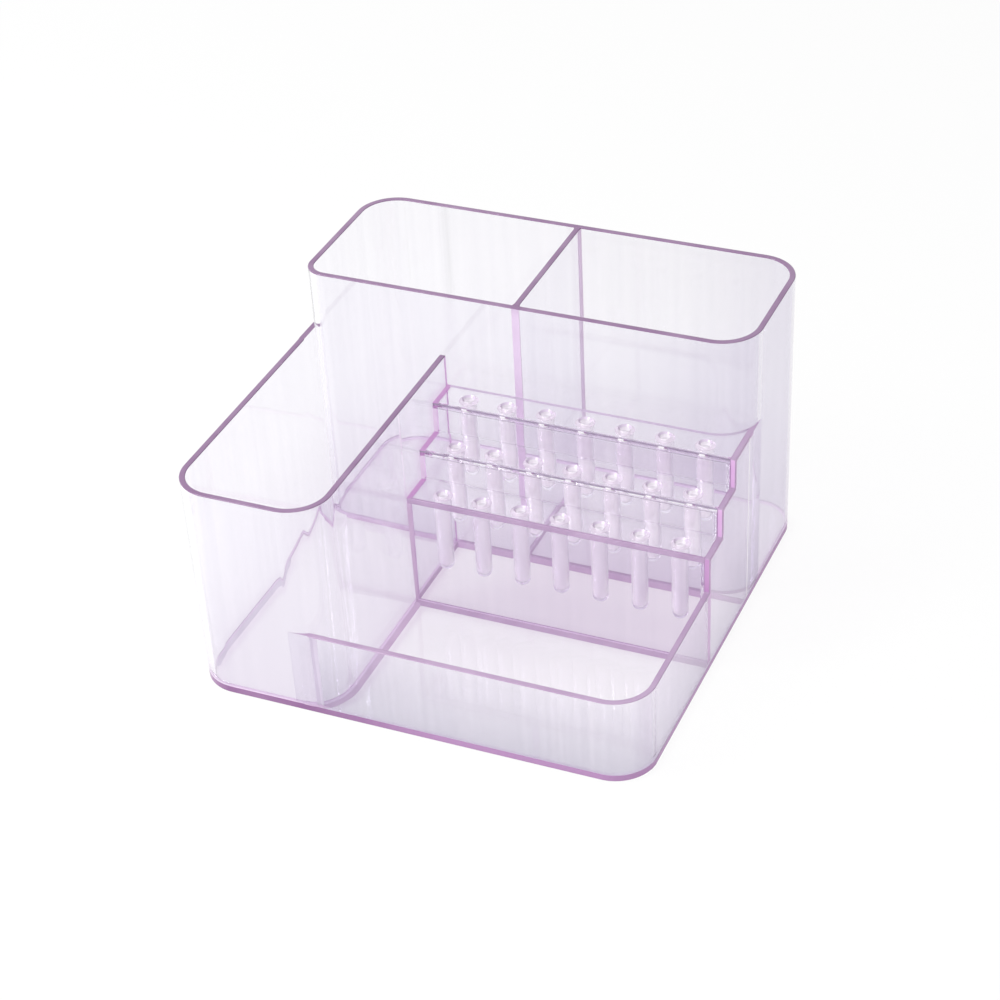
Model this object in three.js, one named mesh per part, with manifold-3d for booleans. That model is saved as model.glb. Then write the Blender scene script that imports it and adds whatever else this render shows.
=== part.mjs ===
// Desk organiser for nail-drill bits, in clear tinted plastic: a tall rear bin in two halves,
// a lower bin on the left, a shallow tray at the front right, and behind the tray a rack of
// three treads, like a small staircase, that holds the bits upright in blind sleeves.
// Millimetres. +X runs to the right along the front, +Y to the back and +Z up.

import * as THREE from 'three';
import { mergeVertices } from 'three/addons/utils/BufferGeometryUtils.js';
import Module from 'manifold-3d';

// Outer sizes, all measured at the rear bin's rim
const width = 160;
const depth = 161.5;
const rearBinHeight = 102;
const leftBinHeight = 79;
const trayHeight = 31.5;
const cornerRadius = 14;

// Every upright face leans in towards the base by this much for each unit of height
const draftSlope = 0.01;

// Thicknesses, and the hairline left where one upright piece ends against another
const baseThickness = 2.5;
const wallThickness = 2;
const joinGap = 0.3;

// Rear bin
const rearBinDepth = 59.75;
const rearBinLeftCornerRadius = 8;
const dividerOffset = 1.5;

// Left bin
const leftBinWidth = 52.5;

// Rack of treads, built forward from the rear bin, so that the tray takes the depth left
const treadCount = 3;
const lowerTreadHeight = 45;
const treadRise = 11.25;
const treadRun = 12.5;

// Bit sleeves under the treads. The insets run from the left bin's wall to the centre of
// the first sleeve, and from the centre of the last one to the tray's wall
const sleevesPerTread = 7;
const firstSleeveInset = 10.5;
const lastSleeveInset = 11;
const sleeveSetback = 6.4;
const sleeveLength = 28;
const sleeveOuterDiameter = 5.8;
const sleeveTipRadius = 2.4;
const sleeveTipThickness = 1.6;
const boreDiameter = 3.4;
const boreTipRadius = 1.2;
const leadInDepth = 0.6;
const leadInDiameter = 4.6;

// How far a cutting tool runs past the face that it cuts
const cutOverrun = 1;

// Facets
const wallCornerSteps = 10;
const roundSides = 16;
const tipSteps = 3;

// Places that several pieces share, before the draft is applied
const leftFace = -width / 2;
const rightFace = width / 2;
const frontFace = -depth / 2;
const rearFace = depth / 2;
const rearBinFrontFace = rearFace - rearBinDepth;
const leftBinRightFace = leftFace + leftBinWidth;
const rackLeft = leftBinRightFace + joinGap;
const rackRight = rightFace - wallThickness - joinGap;
const rackTop = treadTop(treadCount - 1);
const sleeveRun = rightFace - wallThickness - leftBinRightFace - firstSleeveInset - lastSleeveInset;
const sleevePitch = sleeveRun / (sleevesPerTread - 1);

function treadFront(row) {
  return rearBinFrontFace - (treadCount - row) * treadRun;
}

function treadTop(row) {
  return lowerTreadHeight + row * treadRise;
}

// Width of the outline at a height, as a share of its width at the rear bin's rim
function draftShare(height) {
  return 1 - (draftSlope * (rearBinHeight - height)) / (width / 2);
}

const wasm = await Module();
wasm.setup();

function toSolid(geometry) {
  const bare = geometry.clone();
  bare.deleteAttribute('normal');
  bare.deleteAttribute('uv');
  const merged = mergeVertices(bare);
  const mesh = new wasm.Mesh({
    numProp: 3,
    vertProperties: merged.getAttribute('position').array,
    triVerts: new Uint32Array(merged.getIndex().array),
  });
  return new wasm.Manifold(mesh);
}

function toGeometry(solid) {
  const mesh = solid.getMesh();
  const geometry = new THREE.BufferGeometry();
  geometry.setAttribute('position', new THREE.Float32BufferAttribute(mesh.vertProperties, 3));
  geometry.setIndex(Array.from(mesh.triVerts));
  return geometry;
}

// Rectangle with a radius for each corner: front left, front right, rear right, rear left
function outline(left, front, right, rear, radii) {
  const [frontLeft, frontRight, rearRight, rearLeft] = radii;
  const corners = [
    { x: left + frontLeft, y: front + frontLeft, radius: frontLeft, start: Math.PI },
    { x: right - frontRight, y: front + frontRight, radius: frontRight, start: 1.5 * Math.PI },
    { x: right - rearRight, y: rear - rearRight, radius: rearRight, start: 0 },
    { x: left + rearLeft, y: rear - rearLeft, radius: rearLeft, start: 0.5 * Math.PI },
  ];
  const points = [];
  for (const corner of corners) {
    const steps = corner.radius > 0 ? wallCornerSteps : 0;
    for (let step = 0; step <= steps; step += 1) {
      const turn = steps > 0 ? (step / steps) * 0.5 * Math.PI : 0;
      const angle = corner.start + turn;
      const x = corner.x + corner.radius * Math.cos(angle);
      const y = corner.y + corner.radius * Math.sin(angle);
      points.push(new THREE.Vector2(x, y));
    }
  }
  return points;
}

// Upright solid on an outline, with its ends exactly at the two heights
function prism(points, bottom, top, holes = []) {
  const shape = new THREE.Shape(points);
  for (const hole of holes) {
    shape.holes.push(new THREE.Path(hole));
  }
  const geometry = new THREE.ExtrudeGeometry(shape, { depth: top - bottom, bevelEnabled: false });
  const position = geometry.getAttribute('position');
  for (let i = 0; i < position.count; i += 1) {
    position.setZ(i, position.getZ(i) > 0 ? top : bottom);
  }
  return geometry;
}

function plate(left, front, right, rear, bottom, top) {
  return prism(outline(left, front, right, rear, [0, 0, 0, 0]), bottom, top);
}

// Draws the upright faces in towards the base
function drafted(geometry) {
  const position = geometry.getAttribute('position');
  for (let i = 0; i < position.count; i += 1) {
    const share = draftShare(position.getZ(i));
    position.setX(i, position.getX(i) * share);
    position.setY(i, position.getY(i) * share);
  }
  return geometry;
}

// Outline of the rear bin, moved in or out by a distance
function rearBinOutline(grow) {
  const left = rearBinLeftCornerRadius + grow;
  const other = cornerRadius + grow;
  const radii = [left, other, other, other];
  return outline(leftFace - grow, rearBinFrontFace - grow, rightFace + grow, rearFace + grow, radii);
}

// Outline of the left bin, which runs on past the rear bin's rounded corner
function leftBinOutline(grow) {
  const radii = [cornerRadius + grow, cornerRadius + grow, 0, 0];
  const rear = rearBinFrontFace + rearBinLeftCornerRadius;
  return outline(leftFace - grow, frontFace - grow, leftBinRightFace + grow, rear, radii);
}

function footprintOutline(grow) {
  const radii = Array(4).fill(cornerRadius + grow);
  return outline(leftFace - grow, frontFace - grow, rightFace + grow, rearFace + grow, radii);
}

// Room that the rear bin and the left bin take up, with the hairline round them
function rearBinRoom(top) {
  return toSolid(prism(rearBinOutline(joinGap), 0, top + cutOverrun));
}

function leftBinRoom(top) {
  return toSolid(prism(leftBinOutline(joinGap), 0, top + cutOverrun));
}

// Floor of the organiser, open under the rack, where the moulding tool forms the sleeves
function basePlate() {
  const rackFloorFront = treadFront(0) + wallThickness;
  const window = [
    new THREE.Vector2(leftBinRightFace, rackFloorFront),
    new THREE.Vector2(leftBinRightFace, rearBinFrontFace),
    new THREE.Vector2(rightFace - wallThickness, rearBinFrontFace),
    new THREE.Vector2(rightFace - wallThickness, rackFloorFront),
  ];
  return prism(footprintOutline(0), 0, baseThickness, [window]);
}

function rearBinWall() {
  return prism(rearBinOutline(0), baseThickness, rearBinHeight, [rearBinOutline(-wallThickness)]);
}

function rearBinDivider() {
  const left = -dividerOffset - wallThickness / 2;
  const front = rearBinFrontFace + wallThickness + joinGap;
  const rear = rearFace - wallThickness - joinGap;
  return plate(left, front, left + wallThickness, rear, baseThickness, rearBinHeight);
}

// Front and two sides in one bent strip, whose ends follow the rear bin's rounded corner
function leftBinWall() {
  const outer = toSolid(prism(leftBinOutline(0), baseThickness, leftBinHeight));
  const inner = toSolid(prism(leftBinOutline(-wallThickness), 0, leftBinHeight + cutOverrun));
  return toGeometry(outer.subtract(inner).subtract(rearBinRoom(leftBinHeight)));
}

// Side view of the tray's wall: low round the tray, then up the treads in steps
function trayWallProfile() {
  const past = rearFace + cutOverrun;
  const points = [
    new THREE.Vector2(frontFace - cutOverrun, baseThickness),
    new THREE.Vector2(past, baseThickness),
    new THREE.Vector2(past, rackTop),
  ];
  for (let row = treadCount - 1; row >= 0; row -= 1) {
    const below = row > 0 ? treadTop(row - 1) : trayHeight;
    points.push(new THREE.Vector2(treadFront(row), treadTop(row)));
    points.push(new THREE.Vector2(treadFront(row), below));
  }
  points.push(new THREE.Vector2(frontFace - cutOverrun, trayHeight));
  return points;
}

// Front and right side of the tray in one bent strip, with a stepped top beside the treads
function trayWall() {
  const outer = toSolid(prism(footprintOutline(0), baseThickness, rackTop));
  const inner = toSolid(prism(footprintOutline(-wallThickness), 0, rackTop + cutOverrun));
  const across = new THREE.ExtrudeGeometry(new THREE.Shape(trayWallProfile()), {
    depth: width + 2 * cutOverrun,
    bevelEnabled: false,
  });
  const alongX = new THREE.Vector3(1, 0, 0);
  const alongY = new THREE.Vector3(0, 1, 0);
  const alongZ = new THREE.Vector3(0, 0, 1);
  across.applyMatrix4(new THREE.Matrix4().makeBasis(alongY, alongZ, alongX));
  across.translate(leftFace - cutOverrun, 0, 0);
  const strip = outer.subtract(inner).intersect(toSolid(across));
  return toGeometry(strip.subtract(leftBinRoom(rackTop)).subtract(rearBinRoom(rackTop)));
}

function rackFrontPanel() {
  const front = treadFront(0);
  const top = treadTop(0) - wallThickness;
  return plate(rackLeft, front, rackRight, front + wallThickness, baseThickness, top);
}

// Upright between a tread and the one above it
function riser(row) {
  const front = treadFront(row);
  const top = treadTop(row) - wallThickness;
  return plate(rackLeft, front, rackRight, front + wallThickness, treadTop(row - 1), top);
}

// Centre of one sleeve, set from the drafted wall on its left and the drafted edge in front
function sleeveCentre(row, column) {
  const share = draftShare(treadTop(row));
  const x = leftBinRightFace * share + firstSleeveInset + column * sleevePitch;
  const y = treadFront(row) * share + sleeveSetback;
  return new THREE.Vector2(x, y);
}

// Cutter for one bore through a tread: a straight hole under a conical lead-in
function boreCutter(row, column) {
  const top = treadTop(row);
  const rim = leadInDiameter / 2;
  const bore = boreDiameter / 2;
  const profile = [
    new THREE.Vector2(0, top - wallThickness - cutOverrun),
    new THREE.Vector2(bore, top - wallThickness - cutOverrun),
    new THREE.Vector2(bore, top - leadInDepth),
    new THREE.Vector2(rim, top),
    new THREE.Vector2(rim, top + cutOverrun),
    new THREE.Vector2(0, top + cutOverrun),
  ];
  const cutter = new THREE.LatheGeometry(profile, roundSides);
  cutter.rotateX(Math.PI / 2);
  const centre = sleeveCentre(row, column);
  cutter.translate(centre.x, centre.y, 0);
  return toSolid(cutter);
}

// Tread with its row of bores. The next riser stands on its rear edge, and the top tread
// runs to the rear bin and follows that bin's rounded corner
function tread(row) {
  const top = treadTop(row);
  const topmost = row === treadCount - 1;
  const rear = topmost ? rearBinFrontFace + cornerRadius : treadFront(row + 1) + wallThickness;
  const blank = toSolid(plate(rackLeft, treadFront(row), rackRight, rear, top - wallThickness, top));
  const trimmed = topmost ? blank.subtract(rearBinRoom(top)) : blank;
  let bored = toSolid(drafted(toGeometry(trimmed)));
  for (let column = 0; column < sleevesPerTread; column += 1) {
    bored = bored.subtract(boreCutter(row, column));
  }
  return toGeometry(bored);
}

// Points of a quarter round that leads from a flat tip up into a straight wall
function tipRound(radius, round, tip) {
  const points = [];
  for (let step = 0; step <= tipSteps; step += 1) {
    const angle = (step / tipSteps) * 0.5 * Math.PI;
    const x = radius - round + round * Math.sin(angle);
    const z = tip + round - round * Math.cos(angle);
    points.push(new THREE.Vector2(x, z));
  }
  return points;
}

// Blind tube with a rounded tip, its mouth at height zero
function bitSleeve() {
  const tip = -sleeveLength;
  const boreTip = tip + sleeveTipThickness;
  const profile = [
    new THREE.Vector2(0, tip),
    ...tipRound(sleeveOuterDiameter / 2, sleeveTipRadius, tip),
    new THREE.Vector2(sleeveOuterDiameter / 2, 0),
    new THREE.Vector2(boreDiameter / 2, 0),
    ...tipRound(boreDiameter / 2, boreTipRadius, boreTip).reverse(),
    new THREE.Vector2(0, boreTip),
  ];
  const tube = new THREE.LatheGeometry(profile, roundSides);
  tube.rotateX(Math.PI / 2);
  return tube;
}

const lilac = '#d9c3e2';
const wallMaterial = new THREE.MeshStandardMaterial({ color: lilac, roughness: 0.08, metalness: 0 });
const sleeveMaterial = new THREE.MeshStandardMaterial({ color: '#e9e2f0', roughness: 0.1, metalness: 0 });

const organiser = new THREE.Group();

function add(name, geometry, material) {
  const mesh = new THREE.Mesh(geometry, material);
  mesh.name = name;
  organiser.add(mesh);
  return mesh;
}

add('base_plate', drafted(basePlate()), wallMaterial);
add('rear_bin_wall', drafted(rearBinWall()), wallMaterial);
add('rear_bin_divider', drafted(rearBinDivider()), wallMaterial);
add('left_bin_wall', drafted(leftBinWall()), wallMaterial);
add('tray_wall', drafted(trayWall()), wallMaterial);
add('rack_front_panel', drafted(rackFrontPanel()), wallMaterial);

for (let row = 1; row < treadCount; row += 1) {
  add(`riser_${row + 1}`, drafted(riser(row)), wallMaterial);
}

for (let row = 0; row < treadCount; row += 1) {
  add(`tread_${row + 1}`, tread(row), wallMaterial);
  for (let column = 0; column < sleevesPerTread; column += 1) {
    const name = `bit_sleeve_${row + 1}_${column + 1}`;
    const sleeve = add(name, bitSleeve(), sleeveMaterial);
    const centre = sleeveCentre(row, column);
    sleeve.position.set(centre.x, centre.y, treadTop(row) - wallThickness);
  }
}

// The origin lies under the middle of the whole outline. The left bin's rim is lower than
// the rear bin's, so the draft draws the front in a little and the middle moves back
organiser.position.y = -((1 - draftShare(leftBinHeight)) * depth) / 4;

export default organiser;
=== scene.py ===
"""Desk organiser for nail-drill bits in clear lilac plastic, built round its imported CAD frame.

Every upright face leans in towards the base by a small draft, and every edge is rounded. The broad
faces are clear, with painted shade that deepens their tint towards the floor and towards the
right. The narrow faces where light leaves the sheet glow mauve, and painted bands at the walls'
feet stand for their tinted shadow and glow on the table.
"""

import math
from functools import partial
from types import SimpleNamespace

import bpy
import numpy as np
from bpy.props import FloatProperty, FloatVectorProperty, IntProperty, PointerProperty
from mathutils import Matrix, Vector


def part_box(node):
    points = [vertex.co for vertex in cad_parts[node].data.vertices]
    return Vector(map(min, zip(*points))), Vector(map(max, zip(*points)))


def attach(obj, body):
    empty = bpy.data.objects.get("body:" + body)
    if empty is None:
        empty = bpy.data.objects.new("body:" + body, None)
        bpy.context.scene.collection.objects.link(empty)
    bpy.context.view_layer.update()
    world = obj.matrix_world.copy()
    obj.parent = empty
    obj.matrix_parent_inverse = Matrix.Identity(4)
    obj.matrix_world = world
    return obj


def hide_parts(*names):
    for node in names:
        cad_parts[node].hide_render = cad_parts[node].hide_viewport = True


bl_info = {
    "name": "Nail Drill Bit Organiser",
    "version": (1, 0, 0),
    "blender": (4, 5, 0),
    "location": "View3D > Sidebar > Organiser",
    "description": "Builds a clear tinted desk organiser for nail-drill bits",
    "category": "Add Mesh",
}

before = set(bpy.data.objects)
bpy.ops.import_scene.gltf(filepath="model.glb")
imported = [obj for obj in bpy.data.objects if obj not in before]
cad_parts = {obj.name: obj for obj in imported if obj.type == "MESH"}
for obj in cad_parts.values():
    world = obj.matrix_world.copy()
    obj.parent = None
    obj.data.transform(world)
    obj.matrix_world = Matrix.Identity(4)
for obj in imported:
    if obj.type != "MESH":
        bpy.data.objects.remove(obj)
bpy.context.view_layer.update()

MM = 0.001
ROWS = 3
COLUMNS = 7

# Sides of a skin: those of a wall that follows a path, of a plate, and those a tread has besides
START, END, OUTER, INNER, BOTTOM, TOP = range(6)
LEFT, RIGHT, FRONT, REAR = range(4)
BORE_WALL, CONE, UPPER_FRONT = range(6, 9)

# Slots of a sheet piece, in the order of its finishes
CLEAR, RIM, FOOT, STEP, LINE, MILKY_HIGHLIGHT, SHADED, PALE, SOFT_FOOT, INNER_FOOT = range(10)


def linear(code, alpha=1.0):
    """sRGB hex to linear colour: each channel below 0.04045 is divided by 12.92, and any other is
    ((value + 0.055) / 1.055) to the power 2.4."""
    values = [int(code[i : i + 2], 16) / 255 for i in (1, 3, 5)]
    return (*(v / 12.92 if v <= 0.04045 else ((v + 0.055) / 1.055) ** 2.4 for v in values), alpha)


def cad_box(node):
    """Lowest and highest corner of a CAD node as arrays, in metres."""
    low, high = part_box(node)
    return np.array(low), np.array(high)


REAR_BOX = cad_box("rear_bin_wall")
LEFT_TOP = cad_box("left_bin_wall")[1][2]
TREAD_TOPS = [cad_box(f"tread_{row + 1}")[1][2] for row in range(ROWS)]
BASE_TOP = cad_box("base_plate")[1][2]


# Sizes and colours that a user may change


def length(name, description, default):
    return FloatProperty(name=name, description=description, default=default, min=0, unit="LENGTH")


def colour(name, description, code):
    return FloatVectorProperty(
        name=name, description=description, default=linear(code),
        size=4, min=0, max=1, subtype="COLOR",
    )


class OrganiserSizes(bpy.types.PropertyGroup):
    """Sizes of the moulding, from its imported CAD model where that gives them"""

    width: length("Width", "Outer width at the rear rim", REAR_BOX[1][0] - REAR_BOX[0][0])
    depth: length("Depth", "Outer depth before the draft", 161.5 * MM)
    rear_rim: length("Rear rim", "Height of the rear bin", REAR_BOX[1][2])
    left_rim: length("Left rim", "Height of the left bin", LEFT_TOP)
    tray_rim: length("Tray rim", "Height of the tray's wall", 31.5 * MM)
    base: length("Base", "Thickness of the base plate", BASE_TOP)
    wall: length("Wall", "Thickness of walls and treads", 2 * MM)
    corner: length("Corner", "Outer radius of the upright corners", 14 * MM)
    tight_corner: length("Tight corner", "Radius at the rear bin's front left", 8 * MM)
    rear_depth: length("Rear bin depth", "Outer depth of the rear bin", 59.75 * MM)
    left_width: length("Left bin width", "Outer width of the left bin", 52.5 * MM)
    divider_offset: length("Divider offset", "How far left of the middle it stands", 1.5 * MM)
    tread_run: length("Tread run", "Depth from one tread's front to the next", 12.5 * MM)
    weld: length("Weld", "How far pieces run into each other, so no air is left", 0.02 * MM)
    edge: length("Edge", "Width of the rounding on every edge", 0.32 * MM)
    cove: length("Cove", "How far a plate's ends flare where they meet a wall", 0.32 * MM)
    cove_run: length("Cove run", "Length over which they flare", 1.3 * MM)
    # The flared foot is a low ledge on the floor, painted with the foot colours as the walls'
    # tinted shadow and glow on the table
    toe: length("Toe", "Run of a foot over the floor, times each wall's own share", 1.0 * MM)
    toe_rise: length("Toe rise", "Height of the foot where it leaves the wall", 0.3 * MM)
    strip: length("Strip", "Width of the coloured strip at a tread's left end", 1.3 * MM)
    bore: length("Bore", "Diameter of a bit's bore", 3.4 * MM)
    mouth: length("Mouth", "Diameter of the bore's conical mouth", 4.6 * MM)
    mouth_depth: length("Mouth depth", "Depth of the bore's conical mouth", 0.6 * MM)
    sleeve: length("Sleeve", "Outer diameter of a bit sleeve", 5.8 * MM)
    sleeve_tip: length("Sleeve tip", "Thickness of a sleeve's closed tip", 1.6 * MM)
    draft: FloatProperty(
        name="Draft", description="How far an upright face leans in for each unit of height",
        default=0.01, min=0,
    )
    corner_steps: IntProperty(
        name="Corner steps", description="Facets in a quarter turn of an upright corner",
        default=28, min=4,
    )


class OrganiserFinish(bpy.types.PropertyGroup):
    """Colours of the plastic where it is seen through, and at the edges where light leaves it. The
    low and far tints are painted shade, and the foot colours are painted shadow and glow.
    """

    wall_tint: colour("Wall tint", "Light that one wall lets through near its rim", "#FBFAFD")
    # Painted shade: the low, tray and panel tints darken the clear tint towards the floor
    low_shade_tint: colour("Low tint", "The same near the floor, where it is deeper", "#F3F0F6")
    tray_low_shade_tint: colour("Tray tint", "Low tint of the tray's wall, greyer than the others", "#DAD9E1")
    panel_low_shade_tint: colour("Panel tint", "Low tint of the rack's front panel", "#EBE4EE")
    # Painted shade: the far tints darken the clear tint towards the right, away from the key lamp
    far_shade_tint: colour("Far tint", "Deepens the bins' tint towards the right", "#F3F1F6")
    tray_far_shade_tint: colour("Tray far tint", "The same for the tray's right side", "#F5F0F7")
    rack_far_shade_tint: colour("Rack far tint", "The same for the panel and upper riser", "#F8F4F9")
    sleeve_tint: colour("Sleeve tint", "Light that a sleeve lets through", "#FCFAFE")
    pale_tint: colour("Pale tint", "Light that the rack lets through", "#FDFCFE")
    floor_tint: colour("Floor tint", "Light that the base plate lets through", "#F8F5FA")
    # Painted reflection and highlight: the milk is the white haze inside the sleeves and the bores,
    # for light mirrored there, and the highlights on the treads' front edges and the tray
    milk: colour("Milk", "Fine haze inside the sleeves and in the treads' bores", "#FFFEFF")
    haze: colour("Haze", "Roots of the sleeves, where they join the treads", "#F5ECF7")
    wall_shadow: colour("Wall shadow", "Lamp light that a skin of a wall passes", "#F9F8FA")
    rack_shadow: colour("Rack shadow", "The same for the treads and the sleeves", "#FCFAFC")
    haze_shadow: colour("Haze shadow", "The same for the hazy plastic", "#F9F7FA")
    floor_shadow: colour("Floor shadow", "The same for the base plate", "#FDFDFD")
    rim_colour: colour("Rim", "Top edges, where the light leaves the sheet", "#8D6B92")
    soft_rim_colour: colour("Soft rim", "Top edges of the tray and the lowest tread", "#B498BA")
    step_colour: colour("Step", "Stepped edge beside the treads", "#DFB2E2")
    foot_colour: colour("Foot", "Ends of the treads and the step's foot", "#C692C8")
    base_colour: colour("Base edge", "Outer edge of the base plate", "#8E5E92")
    soft_base_colour: colour("Soft base edge", "The same towards the right", "#AE84B2")
    # Painted shadow and glow: the inner foot colour at the walls' feet and the window's edge stands
    # for their tinted shadow and glow on the table
    inner_foot_shadow_glow_colour: colour("Inner foot", "Foot of the walls and the window's edge", "#C9AECD")
    line_colour: colour("Line", "Lines along edges, and the cones of the bores", "#D8C9DF")
    shaded_colour: colour("Shaded edge", "Front edges of the upper treads", "#9C8EA6")
    pale_colour: colour("Pale edge", "Ends of the divider, and undersides of the walls", "#E6D0EA")
    # Painted shadow and glow at the left bin's foot near the front, as for the inner foot
    soft_foot_colour: colour("Soft foot", "Foot of the left bin near the front", "#D8CEDF")


class OrganiserStudio(bpy.types.PropertyGroup):
    """Camera and light of the studio"""

    azimuth: FloatProperty(
        name="Azimuth", description="Camera's turn from the front to the right",
        default=math.radians(24.748), subtype="ANGLE",
    )
    elevation: FloatProperty(
        name="Elevation", description="Camera's height above the table",
        default=math.radians(34.566), subtype="ANGLE",
    )
    roll: FloatProperty(
        name="Roll", description="Camera's turn about its own line of sight",
        default=math.radians(-3.309), subtype="ANGLE",
    )
    distance: length("Distance", "From the camera to its target", 862.784 * MM)
    lens: FloatProperty(
        name="Lens", description="Focal length in millimetres", default=92.458, min=10
    )
    lamp: FloatProperty(
        name="Key lamp", description="Power of the key lamp in watts", default=12.0, min=0
    )


# Shapes


def plan(sizes, finish):
    """Places and colours that several pieces share, before the draft, front towards -Y. The gap
    between pieces is the weld, taken as less than nothing. The shift keeps the whole in the
    middle in Y, where the front reaches its full depth only at the left bin's low rim."""
    p = SimpleNamespace(**{name: getattr(sizes, name) for name in sizes.__annotations__})
    p.finish = finish
    p.left, p.right = -p.width / 2, p.width / 2
    p.front, p.rear = -p.depth / 2, p.depth / 2
    p.rear_front = p.rear - p.rear_depth
    p.left_right = p.left + p.left_width
    p.gap = -p.weld
    p.treads = [p.rear_front - (ROWS - row) * p.tread_run for row in range(ROWS)]
    p.shift = -(1 - share(p, p.left_rim)) * p.depth / 4
    return p


def share(p, z):
    """Width of the outline at height z as a share of its width at the rear rim: one less the
    draft times the drop from the rim over half the width."""
    return 1 - p.draft * (p.rear_rim - z) / (p.width / 2)


def drafted(p, points):
    """Points drawn in towards the base: x and y times share(z), then y moved by the shift."""
    points = np.array(points, float)
    scale = share(p, points[..., 2])
    points[..., 0] *= scale
    points[..., 1] = points[..., 1] * scale + p.shift
    return points


def corner_path(corners, steps, support=1.2 * MM):
    """Path round corners as rows of (centre x, centre y, radius, angle). A point at depth d inside
    the outline is the centre plus (radius - d) times (cos angle, sin angle). Each corner turns a
    quarter from its start angle in the given steps, and a point before it and one after it lie on
    the straight sides, so that a corner has steps + 3 points."""
    rows = []
    for x, y, radius, start in corners:
        turn = start + np.linspace(0, math.pi / 2, steps + 1)
        arc = np.stack(np.broadcast_arrays(x, y, radius, turn), 1)
        before, after = arc[:1].copy(), arc[-1:].copy()
        before[:, :2] -= support * np.array([-math.sin(turn[0]), math.cos(turn[0])])
        after[:, :2] += support * np.array([-math.sin(turn[-1]), math.cos(turn[-1])])
        rows += [before, arc, after]
    return np.concatenate(rows)


def corners_of(left, front, right, rear, radii):
    """Corner centres of a rectangle in the order front left, front right, rear right, rear left."""
    fl, fr, rr, rl = radii
    return [
        (left + fl, front + fl, fl, math.pi),
        (right - fr, front + fr, fr, 1.5 * math.pi),
        (right - rr, rear - rr, rr, 0.0),
        (left + rl, rear - rl, rl, 0.5 * math.pi),
    ]


def straight(x, y, angle):
    """Path points on a straight side that faces along the angle. x or y may list many places."""
    return np.stack(np.broadcast_arrays(np.atleast_1d(x), y, 0.0, angle), 1)


def on_path(path, depth):
    """Plan points at one or more depths inside a path, as an array [path, depth, 2]."""
    reach = path[:, 2, None] - depth
    aim = np.stack([np.cos(path[:, 3]), np.sin(path[:, 3])], 1)
    return path[:, None, :2] + reach[..., None] * aim[:, None, :]


def circle_side(centre, radius, x):
    """y on the front half of a circle at x: the centre's y less the root of radius squared minus
    the distance in x squared."""
    return centre[1] - np.sqrt(np.maximum(radius**2 - (x - centre[0]) ** 2, 0))


def block(points, filled=None, closed=False):
    """Skin of a block of cells. points is [s, t, z, 3], and cell (i, j, k) lies between the points
    i to i + 1, j to j + 1 and k to k + 1. A face is kept where a filled cell meets an empty one.
    Returns the corners, the faces and each face's side: 0 and 1 for low and high s, 2 and 3 for t,
    4 and 5 for z."""
    ns, nt, nz = points.shape[:3]
    cells = (ns if closed else ns - 1, nt - 1, nz - 1)
    filled = np.ones(cells, bool) if filled is None else filled
    ids = np.arange(ns * nt * nz).reshape(ns, nt, nz)
    if closed:
        ids = np.concatenate([ids, ids[:1]])
    faces, sides = [], []
    for axis in range(3):
        order = [axis, (axis + 1) % 3, (axis + 2) % 3]
        grid, full = ids.transpose(order), filled.transpose(order)
        wrap = closed and axis == 0
        low = np.roll(full, 1, 0) if wrap else np.concatenate([np.zeros_like(full[:1]), full])
        high = full if wrap else np.concatenate([full, np.zeros_like(full[:1])])
        for side, (here, there) in enumerate([(high, low), (low, high)]):
            i, j, k = np.nonzero(here & ~there)
            quad = np.stack(
                [grid[i, j, k], grid[i, j + 1, k], grid[i, j + 1, k + 1], grid[i, j, k + 1]], 1
            )
            faces.append(quad if side else quad[:, ::-1])
            sides.append(np.full(len(quad), 2 * axis + side))
    return points.reshape(-1, 3), np.concatenate(faces), np.concatenate(sides)


def grid_faces(rows, columns, closed=False):
    """Faces of a grid of points, as [rows - 1, columns, 4]: a face's corners are (i, j),
    (i + 1, j), (i + 1, j + 1) and (i, j + 1). A closed grid joins its last column to the first."""
    ids = np.arange(rows * columns).reshape(rows, columns)
    if closed:
        ids = np.concatenate([ids, ids[:, :1]], 1)
    return np.stack([ids[:-1, :-1], ids[1:, :-1], ids[1:, 1:], ids[:-1, 1:]], -1)


def turned(faces):
    """The same faces seen from their other side, with the first corner kept."""
    return faces[..., [0, 3, 2, 1]]


def welded(points, faces, sides, soft=None, apart=0.001 * MM):
    """The same skin with corners that share a place made one, unused corners dropped and faces
    that have shrunk to a line left out."""
    keys = np.round(points / apart).astype(np.int64)
    _, first, back = np.unique(keys, axis=0, return_index=True, return_inverse=True)
    faces = back.reshape(-1)[faces]
    whole = (np.sort(faces, 1)[:, 1:] != np.sort(faces, 1)[:, :-1]).all(1)
    faces, sides = faces[whole], sides[whole]
    used, faces = np.unique(faces, return_inverse=True)
    soft = None if soft is None else soft[first][used]
    return points[first][used], faces.reshape(-1, 4), sides, soft


def volume(points, faces):
    """Signed volume: a sixth of the sum of the triangles' triple products, where a face is a fan
    of triangles from its first corner."""
    total = 0.0
    for k in range(1, faces.shape[1] - 1):
        a, b, c = points[faces[:, 0]], points[faces[:, k]], points[faces[:, k + 1]]
        total += np.einsum("ij,ij->", a, np.cross(b, c)) / 6
    return total


def new_object(name, points, faces, finishes):
    """Object from arrays. faces is a list of arrays, each of faces with as many corners."""
    mesh = bpy.data.meshes.new(name)
    mesh.from_pydata(points.tolist(), [], [face for group in faces for face in group.tolist()])
    for finish in finishes:
        mesh.materials.append(finish)
    thing = bpy.data.objects.new(name, mesh)
    bpy.context.scene.collection.objects.link(thing)
    return thing


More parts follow.
